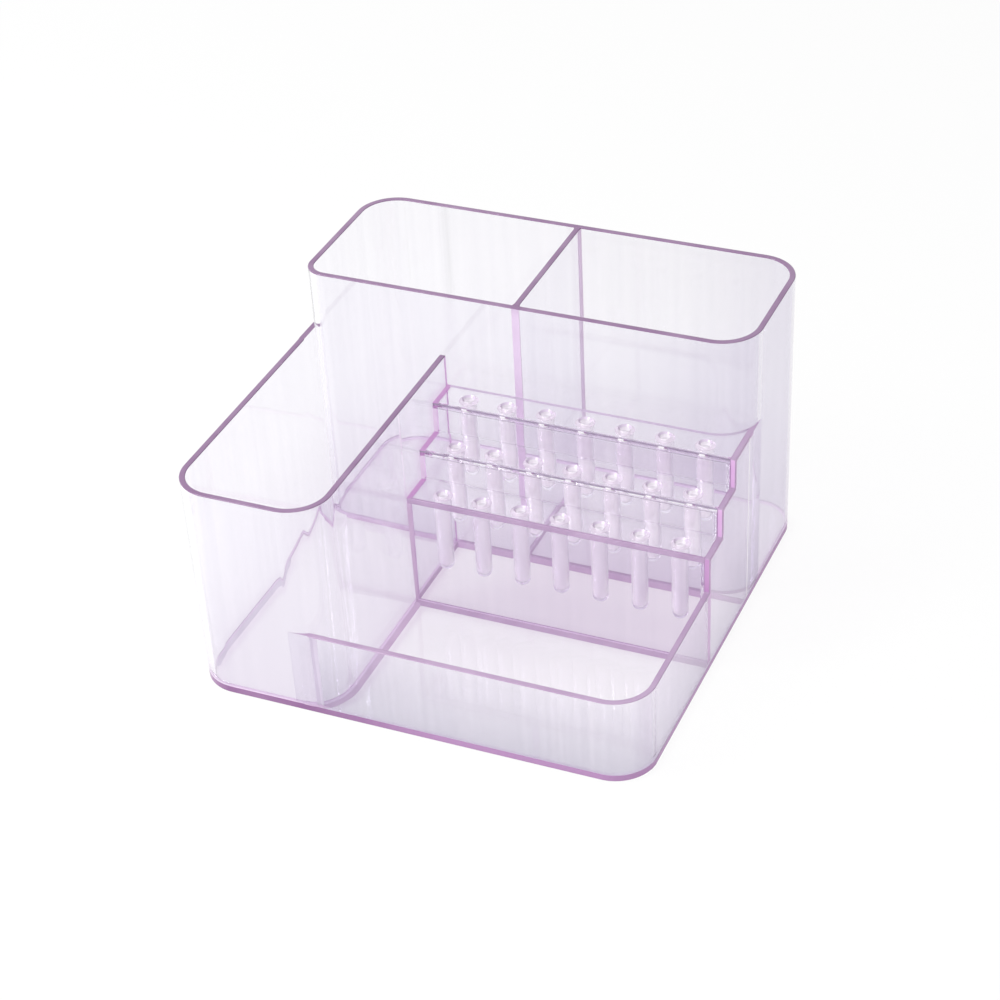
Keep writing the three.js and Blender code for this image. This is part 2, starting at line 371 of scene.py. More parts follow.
def make_piece(
    name, node, points, faces, slots, finishes, edge=0.0, soft=None, line=-1
):
    """Piece over a CAD node, its faces turned outwards. Corners marked soft take no rounding on
    the edges that touch them. The roundings take the line's slot, or with -1 that of the faces."""
    if sum(volume(points, group) for group in faces) < 0:
        faces = [group[:, ::-1] for group in faces]
    piece = new_object(name, points, faces, finishes)
    mesh = piece.data
    mesh.polygons.foreach_set("material_index", np.asarray(slots, np.int32))
    mesh.polygons.foreach_set("use_smooth", np.ones(len(mesh.polygons), bool))
    mesh.update()
    if edge > 0:
        round_edges(piece, edge, soft, line)
    else:
        mesh.set_sharp_from_angle(angle=math.radians(40))
    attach(piece, "root")
    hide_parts(node)
    return piece


def values_of(items, name, kind, width=1):
    """One property of all the items of a mesh, as an array."""
    values = np.empty(len(items) * width, kind)
    items.foreach_get(name, values)
    return values.reshape(-1, width) if width > 1 else values


def round_edges(piece, edge, soft, line, bend=math.radians(10)):
    """Bevel on every edge that bends: the dot product of the normals of its two faces is under
    the cosine of the bend. Less than that is part of a round corner."""
    mesh = piece.data
    loop_edges = values_of(mesh.loops, "edge_index", np.int32)
    totals = values_of(mesh.polygons, "loop_total", np.int32)
    normals = values_of(mesh.polygons, "normal", np.float32, 3)
    ends = values_of(mesh.edges, "vertices", np.int32, 2)
    owners = np.repeat(np.arange(len(totals)), totals)[np.argsort(loop_edges, kind="stable")]
    one, other = owners.reshape(-1, 2).T
    sharp = np.einsum("ij,ij->i", normals[one], normals[other]) < math.cos(bend)
    mesh.attributes.new("sharp_edge", "BOOLEAN", "EDGE").data.foreach_set("value", sharp)
    if soft is not None:
        sharp &= ~soft[ends].any(1)
    weights = mesh.attributes.new("bevel_weight_edge", "FLOAT", "EDGE")
    weights.data.foreach_set("value", sharp.astype(np.float32))
    bevel = piece.modifiers.new("rounded_edges", "BEVEL")
    bevel.limit_method = "WEIGHT"
    bevel.width = edge
    bevel.segments = 2
    bevel.use_clamp_overlap = False
    bevel.harden_normals = True
    bevel.material = line


def foot_heights(p):
    """The two lowest rows of an upright: its foot, and where the foot's flare ends."""
    return np.array([p.base + p.gap, p.base + p.gap + p.toe_rise])


def at_foot(p, corners):
    """Corners of an upright's foot, which meet the floor and so take no rounding."""
    return corners[..., 2] < foot_heights(p)[1] + 0.1 * MM


def upright(p, path, heights, depths=5, inner=1.0, outer=0.0, lean=0.0):
    """Wall that follows a path: depth runs from the outer face to the inner one. The lowest row of
    points flares by the toe times inner on the inner side and times outer on the outer side, and
    the outer face leans out by the toe times lean at its foot. The flare is a low ledge on the
    floor, whose foot colours paint the wall's tinted shadow and glow on the table."""
    zs = np.concatenate([foot_heights(p), heights])
    points = np.empty((len(path), depths, len(zs), 3))
    points[..., :2] = on_path(path, np.linspace(0, p.wall, depths))[:, :, None, :]
    points[..., 2] = zs
    aim = p.toe * np.stack([np.cos(path[:, 3]), np.sin(path[:, 3])], 1)
    points[:, -1, 0, :2] -= np.broadcast_to(inner, len(path))[:, None] * aim
    points[:, 0, 0, :2] += np.broadcast_to(outer, len(path))[:, None] * aim
    points[:, 0, :2, :2] += np.broadcast_to(lean, len(path))[:, None, None] * aim[:, None]
    return points


def plate(p, across, low, ends, zs, foot=(0.0, 0.0)):
    """Straight upright, thick in X (across 0) or Y (across 1), whose thickness starts at low and
    whose length runs between the ends. Both ends flare by the cove to both sides, and the foot
    flares by the toe times its share for the low and the high side."""
    along = np.array([ends[0], ends[0] + p.cove_run, ends[1] - p.cove_run, ends[1]])
    thick = np.array([low, low + p.wall])
    axes = (thick, along) if across == 0 else (along, thick)
    points = np.stack(np.meshgrid(*axes, zs, indexing="ij"), -1)
    view = points if across == 0 else points.transpose(1, 0, 2, 3)
    for side, way in ((0, -1), (1, 1)):
        view[side, [0, -1], :, across] += way * p.cove
        view[side, :, 0, across] += way * foot[side] * p.toe
    return points


def centres(corners, faces):
    return corners[faces].mean(1)


def plate_slots(p, across, corners, faces, sides, ends, rim=False):
    """Slots of a plate's faces: the rim's on top if it has one, PALE underneath, INNER_FOOT on its
    foot, FOOT on its ends and the strips beside them, and CLEAR elsewhere."""
    middle = centres(corners, faces)
    length_axis = 1 - across
    shifted = middle[:, length_axis] - (p.shift if length_axis == 1 else 0)
    place = shifted / share(p, middle[:, 2])
    strip = (place < ends[0] + p.cove_run) | (place > ends[1] - p.cove_run)
    foot = (middle[:, 2] < foot_heights(p)[1]) & (sides != BOTTOM)
    return np.select(
        [(sides == TOP) & rim, sides == BOTTOM, foot, strip], [RIM, PALE, INNER_FOOT, FOOT], CLEAR
    )


def wall_slots(p, corners, faces, sides, end=STEP, foot=INNER_FOOT):
    """Slots of the faces of a wall that follows a path: RIM on top, PALE underneath, the foot's
    and the end's own slots, and CLEAR elsewhere."""
    low = centres(corners, faces)[:, 2] < foot_heights(p)[1]
    low &= (sides == OUTER) | (sides == INNER)
    return np.select(
        [sides == TOP, sides == BOTTOM, low, sides <= END], [RIM, PALE, foot, end], CLEAR
    )


# Finishes

ACRYLIC_IOR = 1.49
RIPPLES = 60.0  # a noise's scale is its patches per metre: 17 mm each
STREAKS = 330.0  # 3 mm each, and drawn out upwards
PATCHES = 85.0  # 12 mm each


def add(nodes, kind, settings=(), links=()):
    """Adds a node. settings map an input or a property to its value, and links map an input to
    the socket that feeds it, or to a node for its first output."""
    node = nodes.new("ShaderNode" + kind)
    for key, value in dict(settings).items():
        if isinstance(key, int) or key in node.inputs:
            node.inputs[key].default_value = value
        else:
            setattr(node, key, value)
    for key, source in dict(links).items():
        socket = source.outputs[0] if isinstance(source, bpy.types.Node) else source
        nodes.id_data.links.new(socket, node.inputs[key])
    return node


def new_finish(name):
    finish = bpy.data.materials.new(name)
    finish.use_nodes = True
    finish.node_tree.nodes.clear()
    return finish, finish.node_tree.nodes


def seen_through(nodes, shader, tint):
    """Sends lamp light and scattered light straight through, tinted, so that what stands behind
    the plastic is lit, and ends the material."""
    rays = add(nodes, "LightPath").outputs
    clear = add(nodes, "BsdfTransparent", {"Color": tint})
    scattered = add(nodes, "MixShader", links={0: rays["Is Diffuse Ray"], 1: shader, 2: clear})
    lit = add(nodes, "MixShader", links={0: rays["Is Shadow Ray"], 1: scattered, 2: clear})
    add(nodes, "OutputMaterial", links={"Surface": lit})


def clear_acrylic(
    name, tint, shadow, low=None, far=None, start=50 * MM, streaks=0.03, turn=(35 * MM, 80 * MM)
):
    """Clear acrylic, injection moulded and polished: it bends and mirrors light like glass. Given
    a low tint, painted shade darkens the tint to it from the start height down to the floor, and
    multiplies it by the far tint as x goes through the turn, towards the side away from the key
    lamp. Faint upright lines at random dim it by the streaks' share, painted in part for the
    upright streaks that reflection draws in the plastic. The shallow ripples are left by the
    moving melt."""
    finish, nodes = new_finish(name)
    place = add(nodes, "TexCoord").outputs["Object"]
    ripple = add(nodes, "TexNoise", {"Scale": RIPPLES, "Detail": 0.0}, {"Vector": place})
    bump = add(nodes, "Bump", {"Strength": 0.02, "Distance": 0.4 * MM}, {"Height": ripple})
    settings = {"Transmission Weight": 1.0, "IOR": ACRYLIC_IOR, "Roughness": 0.0}
    links = {"Normal": bump}
    if low is None:
        settings["Base Color"] = tint
    else:
        # Painted shade: deeper tint towards the floor, and the far tint towards the right, away
        # from the key lamp
        axes = add(nodes, "SeparateXYZ", links={0: place}).outputs
        down = {"From Min": start, "From Max": 0.0}
        height = add(nodes, "MapRange", down, {"Value": axes["Z"]})
        deep = add(nodes, "Mix", {"data_type": "RGBA", 6: tint, 7: low}, {0: height})
        across = {"From Min": turn[0], "From Max": turn[1]}
        side = add(nodes, "MapRange", across, {"Value": axes["X"]})
        times = {"data_type": "RGBA", "blend_type": "MULTIPLY"}
        both = add(nodes, "Mix", {**times, 7: far}, {0: side, 6: deep.outputs[2]})
        # Random faint upright lines, painted in part for the upright streaks of reflection
        drawn_out = add(nodes, "Mapping", {"Scale": (1.0, 1.0, 0.03)}, {"Vector": place})
        streak_noise = add(nodes, "TexNoise", {"Scale": STREAKS, "Detail": 1.0}, {"Vector": drawn_out})
        depth = add(nodes, "MapRange", {"From Min": 0.35, "From Max": 0.65}, {"Value": streak_noise})
        streak = (1 - streaks, 1 - streaks, 1 - 0.8 * streaks, 1.0)
        lined = add(nodes, "Mix", {**times, 7: streak}, {0: depth, 6: both.outputs[2]})
        links["Base Color"] = lined.outputs[2]
    seen_through(nodes, add(nodes, "BsdfPrincipled", settings, links), shadow)
    return finish


def milky_acrylic(name, tint, shadow, clear_share, roughness, coat=1.0):
    """Clear acrylic with a white haze: the clear share goes through, and the rest is scattered and
    lit by the lamps. Inside the sleeves and the bores, and in the highlights on the edges, the haze
    is painted reflection, for the bright light mirrored there. At the sleeves' roots it is their
    faint ring. The coat, of a high index, is the polished skin over it."""
    finish, nodes = new_finish(name)
    shader = add(nodes, "BsdfPrincipled", {
        "Transmission Weight": clear_share, "IOR": ACRYLIC_IOR, "Roughness": roughness,
        "Base Color": tint, "Coat Weight": coat, "Coat IOR": 2.4, "Coat Roughness": 0.05,
    })
    seen_through(nodes, shader, shadow)
    return finish


def towards(tone, goal, part):
    """Colour moved towards a grey level by a part of the way."""
    return (*(c + (goal - c) * part for c in tone[:3]), 1.0)


def glowing_edge(name, tone, clear_share=0.0, right=None):
    """Edge of a tinted acrylic sheet, cut or moulded: light that runs inside the sheet leaves
    here, so the colour is deep and a little uneven, in patches. It may turn to another colour
    towards the right."""
    finish, nodes = new_finish(name)
    place = add(nodes, "TexCoord").outputs["Object"]
    patches = add(nodes, "TexNoise", {"Scale": PATCHES, "Detail": 2.0}, {"Vector": place})
    spread = add(nodes, "MapRange", {"From Min": 0.3, "From Max": 0.7}, {"Value": patches})
    both = {"data_type": "RGBA", 6: towards(tone, 0, 0.08), 7: towards(tone, 1, 0.06)}
    mix = add(nodes, "Mix", both, {0: spread})
    if right is not None:
        axes = add(nodes, "SeparateXYZ", links={0: place}).outputs
        middle = {"From Min": -30 * MM, "From Max": 10 * MM}
        side = add(nodes, "MapRange", middle, {"Value": axes["X"]})
        mix = add(nodes, "Mix", {"data_type": "RGBA", 7: right}, {0: side, 6: mix.outputs[2]})
    settings = {"Transmission Weight": clear_share, "IOR": ACRYLIC_IOR, "Roughness": 0.2}
    shader = add(nodes, "BsdfPrincipled", settings, {"Base Color": mix.outputs[2]})
    seen_through(nodes, shader, towards(tone, 1, 0.6))
    return finish


def finishes(settings):
    """The organiser's finishes by name, made once."""
    if "clear_lilac_acrylic" in bpy.data.materials:
        return {m.name: m for m in bpy.data.materials}
    c = SimpleNamespace(**{n: tuple(getattr(settings, n)) for n in settings.__annotations__})
    edges = {
        "rim_edge_acrylic": (c.rim_colour,),
        "soft_rim_acrylic": (c.soft_rim_colour,),
        "step_edge_acrylic": (c.step_colour,),
        "foot_edge_acrylic": (c.foot_colour, 0.1),
        "soft_foot_acrylic": (c.soft_foot_colour,),
        "inner_foot_acrylic": (c.inner_foot_shadow_glow_colour,),
        "base_edge_acrylic": (c.base_colour, 0.0, c.soft_base_colour),
        "line_edge_acrylic": (c.line_colour, 0.1),
        "shaded_edge_acrylic": (c.shaded_colour, 0.3),
        "pale_edge_acrylic": (c.pale_colour,),
    }
    made = [
        # The walls', tray's, panel's and upper riser's clear finishes carry the painted shade of
        # the low and far tints
        clear_acrylic("clear_lilac_acrylic", c.wall_tint, c.wall_shadow, c.low_shade_tint, c.far_shade_tint),
        clear_acrylic(
            "clear_tray_acrylic", c.wall_tint, c.wall_shadow, c.tray_low_shade_tint, c.tray_far_shade_tint,
            start=32 * MM, streaks=0.06, turn=(74 * MM, 80 * MM),
        ),
        clear_acrylic(
            "clear_panel_acrylic", c.pale_tint, c.wall_shadow, c.panel_low_shade_tint, c.rack_far_shade_tint,
            start=45 * MM, turn=(-25 * MM, 25 * MM),
        ),
        clear_acrylic(
            "clear_riser_acrylic", c.pale_tint, c.wall_shadow, c.pale_tint, c.rack_far_shade_tint,
            turn=(0, 25 * MM),
        ),
        clear_acrylic("clear_floor_acrylic", c.floor_tint, c.floor_shadow),
        clear_acrylic("clear_pale_acrylic", c.pale_tint, c.rack_shadow),
        clear_acrylic("clear_sleeve_acrylic", c.sleeve_tint, c.rack_shadow),
        milky_acrylic("hazy_root_acrylic", c.haze, c.haze_shadow, 0.6, 0.1, coat=0.0),
        # The hazy sleeve and milky bore finishes are the painted reflection inside the bores and
        # the painted highlights
        milky_acrylic("hazy_sleeve_acrylic", c.milk, c.haze_shadow, 0.4, 0.1),
        milky_acrylic("milky_bore_acrylic", c.milk, c.haze_shadow, 0.2, 0.15),
        *(glowing_edge(name, *values) for name, values in edges.items()),
    ]
    return {m.name: m for m in made}


def chosen(p, *names):
    made = finishes(p.finish)
    return [made[name] for name in names]


# Pieces


def sheet(
    p, name, node, corners, faces, slots, soft, line=-1, edge=1.0,
    clear="clear_lilac_acrylic", rim="rim_edge_acrylic", last="inner_foot_acrylic",
):
    """Sheet piece with its finishes in the order of the slots, and its edges rounded by a share
    of the usual width."""
    looks = chosen(
        p, clear, rim, "foot_edge_acrylic", "step_edge_acrylic", "line_edge_acrylic",
        "milky_bore_acrylic", "shaded_edge_acrylic", "pale_edge_acrylic", "soft_foot_acrylic",
        last,
    )
    return make_piece(
        name, node, corners, [faces], slots, looks, edge=edge * p.edge, soft=soft, line=line
    )


def base_plate(p):
    """Rounded rectangle with a rectangular window: a ring whose outer line is the outline and
    whose inner line goes round the window. The points of each round corner go with points spread
    evenly over both sides of the window's corner."""
    path = corner_path(corners_of(p.left, p.front, p.right, p.rear, [p.corner] * 4), p.corner_steps)
    outer = on_path(path, np.array([0.0]))[:, 0]
    x0, x1 = p.left_right, p.right - p.wall
    y0, y1 = p.treads[0] + p.wall, p.rear_front
    reach = 6 * MM * np.linspace(-1, 1, p.corner_steps + 3)
    back, on = np.minimum(reach, 0), np.maximum(reach, 0)
    inner = np.concatenate([
        np.stack([x0 + on, y0 - back], 1),
        np.stack([x1 + back, y0 + on], 1),
        np.stack([x1 - on, y1 + back], 1),
        np.stack([x0 - back, y1 - on], 1),
    ])
    points = np.empty((len(outer), 2, 2, 3))
    points[:, 0, :, :2] = outer[:, None]
    points[:, 1, :, :2] = inner[:, None]
    points[..., 2] = [0.0, p.base]
    corners, faces, sides = block(drafted(p, points), closed=True)
    looks = chosen(p, "clear_floor_acrylic", "base_edge_acrylic", "inner_foot_acrylic")
    slots = np.select([sides == OUTER, sides == INNER], [1, 2], 0)
    return make_piece(
        "base_plate_moulded", "base_plate", corners, [faces], slots, looks, edge=p.edge
    )


def rear_bin_wall(p):
    """Closed hoop: the rounded outline carried up from the floor to the rim. Its outer foot flares
    inside the left bin alone."""
    radii = [p.tight_corner, p.corner, p.corner, p.corner]
    around = corners_of(p.left, p.rear_front, p.right, p.rear, radii)
    tight = corner_path(around[:1], p.corner_steps)
    bin_end = straight([p.left_right - p.toe, p.left_right], p.rear_front, 1.5 * math.pi)
    path = np.concatenate([tight, bin_end, corner_path(around[1:], p.corner_steps)])
    outer = np.zeros(len(path))
    outer[len(tight) - 1 : len(tight) + 1] = 1.5
    points = upright(p, path, [p.rear_rim], depths=2, inner=0.6, outer=outer)
    corners, faces, sides = block(drafted(p, points), closed=True)
    slots = wall_slots(p, corners, faces, sides)
    x, y, _ = centres(corners, faces).T
    window = (x > p.left_right * share(p, 0)) & (y < p.rear_front + p.corner)
    # The foot is pale inside the rear bin. Under the window, the hoop's underside takes the inner
    # foot's painted shadow and glow
    slots[(slots == INNER_FOOT) & (sides == INNER) & ~window] = PALE
    slots[(sides == BOTTOM) & window] = INNER_FOOT
    return sheet(
        p, "rear_bin_hoop", "rear_bin_wall", corners, faces, slots, at_foot(p, corners), RIM
    )


def rear_bin_divider(p):
    """Upright plate between the hoop's front and rear, its foot flared to both sides."""
    low = -p.divider_offset - p.wall / 2
    ends = (p.rear_front + p.wall + p.gap, p.rear - p.wall - p.gap)
    points = plate(p, 0, low, ends, [*foot_heights(p), p.rear_rim], (0.8, 0.8))
    corners, faces, sides = block(drafted(p, points))
    slots = plate_slots(p, 0, corners, faces, sides, ends, rim=True)
    high = centres(corners, faces)[:, 2] > foot_heights(p)[1]
    slots[(slots == FOOT) & (sides < BOTTOM) & high] = PALE
    soft = at_foot(p, corners) | (corners[:, 2] < p.rear_rim - p.edge)
    return sheet(
        p, "rear_bin_divider_plate", "rear_bin_divider", corners, faces, slots, soft, RIM
    )


def left_bin_wall(p):
    """Strip round the left bin: down the left side, round two corners and back along the right
    side. Its left end follows the rear bin's tight corner, and its right end is square. The inner
    foot is wide from the left side's front part to halfway round the first corner. The outer foot
    flares and leans from the second corner on, up to the rack."""
    radii = [p.corner, p.corner, 0, 0]
    front_corners = corners_of(p.left, p.front, p.left_right, p.rear_front, radii)[:2]
    end = p.rear_front - p.gap
    narrow, wide = p.front + 74 * MM, p.front + 70 * MM
    rack = p.treads[0]
    left_side = straight(p.left, [end, end - 6 * MM, narrow, wide], math.pi)
    marks = [rack - p.cove_run, rack - p.gap, end - p.cove_run, end]
    right_side = straight(p.left_right, marks, 0.0)
    path = np.concatenate([left_side, corner_path(front_corners, p.corner_steps), right_side])
    inner = np.full(len(path), 0.3)
    inner[len(left_side) - 1 : p.corner_steps // 2] = 1.8
    outer = np.zeros(len(path))
    second = outer[len(left_side) + p.corner_steps + 3 : len(path) - len(right_side) + 1]
    start, full = -0.33, 2.67  # grows from 0 to 1 between 8 and 41 degrees into the corner
    second[:] = np.clip(np.linspace(start, full, len(second)), 0, 1)
    points = upright(p, path, [p.left_rim], inner=inner, outer=2.1 * outer, lean=outer)
    centre = (p.left + p.tight_corner, p.rear_front + p.tight_corner)
    points[0, ..., 1] = circle_side(centre, p.tight_corner + p.gap, points[0, ..., 0])
    soft = np.zeros(points.shape[:3], bool)
    soft[0] = soft[..., :2] = True
    corners, faces, sides = block(drafted(p, points))
    corners, faces, sides, soft = welded(corners, faces, sides, soft.reshape(-1))
    slots = wall_slots(p, corners, faces, sides, end=FOOT)
    slots[sides == START] = CLEAR
    x, y, _ = centres(corners, faces).T
    # The flared outer foot beside the tray keeps the inner foot's painted shadow and glow. The rest
    # of the foot takes the soft foot's colour near the front and the pale edge's further back
    flared = (sides == OUTER) & (x > p.left_right - 0.8 * p.corner) & (y < rack + p.shift)
    near = (x < p.left + p.corner) & (y < narrow)
    slots = np.where((slots == INNER_FOOT) & ~flared, np.where(near, SOFT_FOOT, PALE), slots)
    return sheet(p, "left_bin_strip", "left_bin_wall", corners, faces, slots, soft, RIM)


def tray_wall(p):
    """Strip along the tray's front and up its right side, with a stepped top: a cell is filled
    where its top is no higher than the tread beside it. Its ends follow the left bin's and the
    rear bin's rounded corners."""
    corner = corners_of(p.left, p.front, p.right, p.rear, [p.corner] * 4)[1:2]
    bin_end = p.left_right - p.corner + np.array([0.0, 7.3, 9.8]) * MM
    hoop_end = p.rear_front + np.array([1.5, 2.2, 7.0]) * MM
    path = np.concatenate([
        straight(bin_end, p.front, 1.5 * math.pi),
        corner_path(corner, p.corner_steps),
        straight(p.right, [p.treads[0] - p.cove_run, *p.treads, *hoop_end], 0.0),
    ])
    points = upright(p, path, [p.tray_rim, *TREAD_TOPS], inner=0.0)
    beside = p.corner + p.gap
    y = points[0, ..., 1] - (p.front + p.corner)
    points[0, ..., 0] = bin_end[0] + np.sqrt(np.maximum(beside**2 - y**2, 0))
    hoop = (p.right - p.corner, p.rear_front + p.corner)
    points[-1, ..., 1] = circle_side(hoop, beside, points[-1, ..., 0])
    filled = np.ones(np.array(points.shape[:3]) - 1, bool)
    for row in range(ROWS):
        filled[: len(path) - len(hoop_end) - ROWS + row, :, 2 + row :] = False
    soft = np.zeros(points.shape[:3], bool)
    soft[0] = soft[-1] = soft[..., :2] = True
    corners, faces, sides = block(drafted(p, points), filled)
    corners, faces, sides, soft = welded(corners, faces, sides, soft.reshape(-1))
    middle = centres(corners, faces)
    z = middle[:, 2]
    x, y, _ = (middle / share(p, z)[:, None]).T
    at_bin, at_hoop = x < bin_end[-1], y > hoop_end[0]
    clear_left = INNER_FOOT  # the last slot is a plain clear one here
    slots = wall_slots(p, corners, faces, sides, foot=CLEAR)
    slots[(sides == END) & ((z < p.tray_rim) | at_hoop)] = CLEAR
    slots[(sides == START) & (z < TREAD_TOPS[0])] = FOOT
    slots[(sides == START) & (z < p.tray_rim)] = CLEAR
    slots[sides == BOTTOM] = SOFT_FOOT
    slots[(slots == CLEAR) & at_bin] = clear_left
    slots[(sides == INNER) & at_bin] = SOFT_FOOT
    # Painted highlight: a milky strip on the outer face by the rear bin's corner, where the joint
    # with the hoop catches the light
    slots[(sides == OUTER) & at_hoop & (y < hoop_end[1])] = MILKY_HIGHLIGHT
    return sheet(
        p, "tray_strip", "tray_wall", corners, faces, slots, soft, RIM,
        clear="clear_tray_acrylic", rim="soft_rim_acrylic", last="clear_lilac_acrylic",
    )


def rack_sides(p):
    """Left and right end of the rack, a weld into the walls beside it."""
    return p.left_right + p.gap, p.right - p.wall - p.gap


def rack_panel(p):
    """Upright under the lowest tread's front edge, its foot flared to the tray's side. The foot
    takes the soft rim's mauve: a painted band for the panel's tinted shadow and glow on the table.
    """
    ends = rack_sides(p)
    zs = [*foot_heights(p), TREAD_TOPS[0] - p.wall - p.gap]
    points = plate(p, 1, p.treads[0], ends, zs, (2.4, 0.0))
    corners, faces, sides = block(drafted(p, points))
    slots = plate_slots(p, 1, corners, faces, sides, ends)
    right = centres(corners, faces)[:, 0] > (ends[1] - p.cove_run) * share(p, 0.0)
    # Painted shadow and glow: the foot takes the soft rim's mauve, as the panel's tinted shadow and
    # glow on the table
    slots = np.select(
        [sides == RIGHT, (slots == INNER_FOOT) | (sides == TOP), slots == FOOT],
        [STEP, RIM, np.where(right, CLEAR, INNER_FOOT)], slots,
    )
    return sheet(
        p, "rack_panel", "rack_front_panel", corners, faces, slots,
        np.ones(len(corners), bool), clear="clear_panel_acrylic", rim="soft_rim_acrylic",
    )


def riser(p, row):
    """Upright between a tread and the one above it."""
    ends = rack_sides(p)
    zs = [TREAD_TOPS[row - 1] + p.gap, TREAD_TOPS[row] - p.wall - p.gap]
    points = plate(p, 1, p.treads[row], ends, zs)
    corners, faces, sides = block(drafted(p, points))
    slots = np.where(sides >= BOTTOM, CLEAR, plate_slots(p, 1, corners, faces, sides, ends))
    left = centres(corners, faces)[:, 0] < 0
    slots = np.where((slots == FOOT) & (sides >= FRONT), np.where(left, PALE, CLEAR), slots)
    clear = "clear_riser_acrylic" if row == ROWS - 1 else "clear_pale_acrylic"
    return sheet(
        p, f"rack_riser_{row + 1}", f"riser_{row + 1}", corners, faces, slots,
        np.ones(len(corners), bool), clear=clear,
    )


def sleeve_centre(row, column):
    """Middle of a CAD sleeve in plan, and the heights of its mouth and its tip."""
    low, high = cad_box(f"bit_sleeve_{row + 1}_{column + 1}")
    return (low[:2] + high[:2]) / 2, high[2], low[2]


def tread_skin(p, row, bores):
    """Corners, faces and sides of a tread. Round each bore, a sheet runs from the cell's border on
    the underside in to the bore, up the bore, out over its conical mouth and on to the border on
    top: a point between circle and border is their blend by its share of the way. Strips close
    the plate's sides, and plain blocks its two ends."""
    x0, x1 = rack_sides(p)
    front, top = p.treads[row], TREAD_TOPS[row]
    levels = np.array([top - p.wall, top - 0.35 * p.wall, top])
    topmost = row == ROWS - 1
    rear = p.rear_front - p.gap if topmost else p.treads[row + 1] + p.wall
    hoop = (p.right - p.corner, p.rear_front + p.corner)
    flat_x = bores[:, 0] / share(p, top)
    between = (flat_x[1:] + flat_x[:-1]) / 2
    half = between[0] - flat_x[0]
    cell_x = np.array([flat_x[0] - half, *between, flat_x[-1] + half])
    side_steps = 14
    marks = np.linspace(0, 1, side_steps + 1)
    angle = -0.75 * math.pi + np.arange(4 * side_steps) / (4 * side_steps) * 2 * math.pi
    aim = np.stack([np.cos(angle), np.sin(angle)], 1)

    def border(x, v):
        """Plan point at x and at share v of the way from the front to the rear edge."""
        x, v = np.broadcast_arrays(x, v)
        edge = np.full_like(x, rear)
        if topmost:
            edge = np.where(x > hoop[0], circle_side(hoop, p.corner + p.gap, x), edge)
        return np.stack([x, front + v * (edge - front)], -1)

    def end_marks(low, high):
        """Places across one of the plate's two ends, with room for the coloured strip."""
        return np.array([low, min(low + p.strip, (low + high) / 2), (low + high) / 2, high])

    def at_level(flat, z):
        return drafted(p, np.concatenate([flat, np.full((*flat.shape[:-1], 1), z)], -1))

    def circle(centre, radius, z):
        flat = centre + radius * aim
        return np.concatenate([flat, np.full((len(flat), 1), z)], 1)

    points, faces, sides = [], [], []

    def take(new_points, new_faces, new_sides):
        faces.append(new_faces.reshape(-1, 4) + sum(map(len, points)))
        sides.append(np.broadcast_to(new_sides, len(faces[-1])))
        points.append(new_points.reshape(-1, 3))

    for centre, xl, xr in zip(bores, cell_x[:-1], cell_x[1:]):
        along = xl + marks * (xr - xl)
        ring = np.concatenate([
            border(along[:-1], 0.0), border(xr, marks[:-1]),
            border(along[:0:-1], 1.0), border(xl, marks[:0:-1]),
        ])
        shares = np.array([0.0, 0.45, 0.8, 1.0])[:, None, None]
        below, above = at_level(ring, levels[0]), at_level(ring, top)
        low_circle = circle(centre, p.bore / 2, levels[0])
        high_circle = circle(centre, p.mouth / 2, top)
        sheet = np.concatenate([
            below + shares * (low_circle - below),
            circle(centre, p.bore / 2, top - p.mouth_depth)[None],
            above + shares[::-1] * (high_circle - above),
        ])
        bands = [BOTTOM] * 3 + [BORE_WALL, CONE] + [TOP] * 3
        take(sheet, grid_faces(*sheet.shape[:2], closed=True), np.repeat(bands, len(aim)))
    for xl, xr in ((x0, cell_x[0]), (cell_x[-1], x1)):
        grid = border(end_marks(xl, xr)[:, None], marks)
        quads = grid_faces(*grid.shape[:2]).reshape(-1, 4)
        take(at_level(grid, levels[0]), quads[:, ::-1], BOTTOM)
        take(at_level(grid, top), quads, TOP)
    steps_x = np.concatenate([
        end_marks(x0, cell_x[0])[:-1],
        *[xl + marks[:-1] * (xr - xl) for xl, xr in zip(cell_x[:-1], cell_x[1:])],
        end_marks(cell_x[-1], x1),
    ])
    edges = {
        FRONT: border(steps_x, 0.0), RIGHT: border(x1, marks),
        REAR: border(steps_x[::-1], 1.0), LEFT: border(x0, marks[::-1]),
    }
    for side, line in edges.items():
        strip = np.stack([at_level(line, z) for z in levels])
        upper = UPPER_FRONT if side == FRONT else side
        take(strip, turned(grid_faces(*strip.shape[:2])), np.repeat([side, upper], len(line) - 1))
    return welded(*(np.concatenate(part) for part in (points, faces, sides)))[:3]


